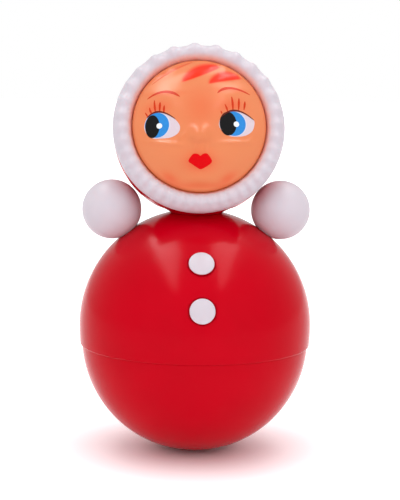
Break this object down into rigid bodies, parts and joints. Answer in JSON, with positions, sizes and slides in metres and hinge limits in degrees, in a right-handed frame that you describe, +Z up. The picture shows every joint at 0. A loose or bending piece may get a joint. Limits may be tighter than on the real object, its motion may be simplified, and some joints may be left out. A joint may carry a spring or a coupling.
{
  "type": "roly poly toy",
  "caption": "Tumbler doll with a round weighted body, ball hands, a hooded head that turns on its neck, and a chime inside that rings as it rocks.",
  "frame": {"origin": "the middle of the small sunk gate in the round bottom, level with the rim that the toy stands on", "axes": "+Z up along the axis of the body, -Y the way the face and buttons look, +X towards the doll's own left hand"},
  "size_m": [0.1164, 0.1168, 0.2045],
  "materials": {
    "red_body": "glossy moulded",
    "white_trim": "glossy moulded",
    "face_skin": "glossy moulded and painted",
    "weight_iron": "as cast",
    "steel": "bright drawn",
    "brass": "turned",
    "chime_plastic": "natural moulded"
  },
  "bodies": {
    "body": {"lower_shell": "red_body", "upper_shell": "red_body", "counterweight": "weight_iron", "base_screws": "steel", "chime_frame": "chime_plastic", "hammer_pins": "steel", "chime_rod_1": "steel", "chime_rod_2": "steel", "chime_rod_3": "steel", "chime_rod_4": "steel", "upper_button": "white_trim", "lower_button": "white_trim", "button_clips": "steel", "left_hand": "white_trim", "right_hand": "white_trim", "hand_screws": "steel", "neck_clip": "chime_plastic"},
    "head": {"hood_back": "red_body", "hood_trim": "white_trim", "face_mask": "face_skin"},
    "hammer_1": {"hammer_arm_1": "chime_plastic", "hammer_bead_1": "brass"},
    "hammer_2": {"hammer_arm_2": "chime_plastic", "hammer_bead_2": "brass"},
    "hammer_3": {"hammer_arm_3": "chime_plastic", "hammer_bead_3": "brass"},
    "hammer_4": {"hammer_arm_4": "chime_plastic", "hammer_bead_4": "brass"}
  },
  "joints": [
    {"name": "head_turn", "type": "hinge", "parent": "body", "child": "head", "pos_m": [0, 0, 0.122], "axis": [0, 0, 1], "range_deg": [-22, 22]},
    {"name": "hammer_1_swing", "type": "hinge", "parent": "body", "child": "hammer_1", "pos_m": [0.011, 0, 0.07669], "axis": [0, -1, 0], "range_deg": [-8, 13.5]},
    {"name": "hammer_2_swing", "type": "hinge", "parent": "body", "child": "hammer_2", "pos_m": [0, 0.011, 0.07669], "axis": [1, 0, 0], "range_deg": [-8, 13.5]},
    {"name": "hammer_3_swing", "type": "hinge", "parent": "body", "child": "hammer_3", "pos_m": [-0.011, 0, 0.07669], "axis": [0, 1, 0], "range_deg": [-8, 13.5]},
    {"name": "hammer_4_swing", "type": "hinge", "parent": "body", "child": "hammer_4", "pos_m": [0, -0.011, 0.07669], "axis": [-1, 0, 0], "range_deg": [-8, 13.5]}
  ]
}
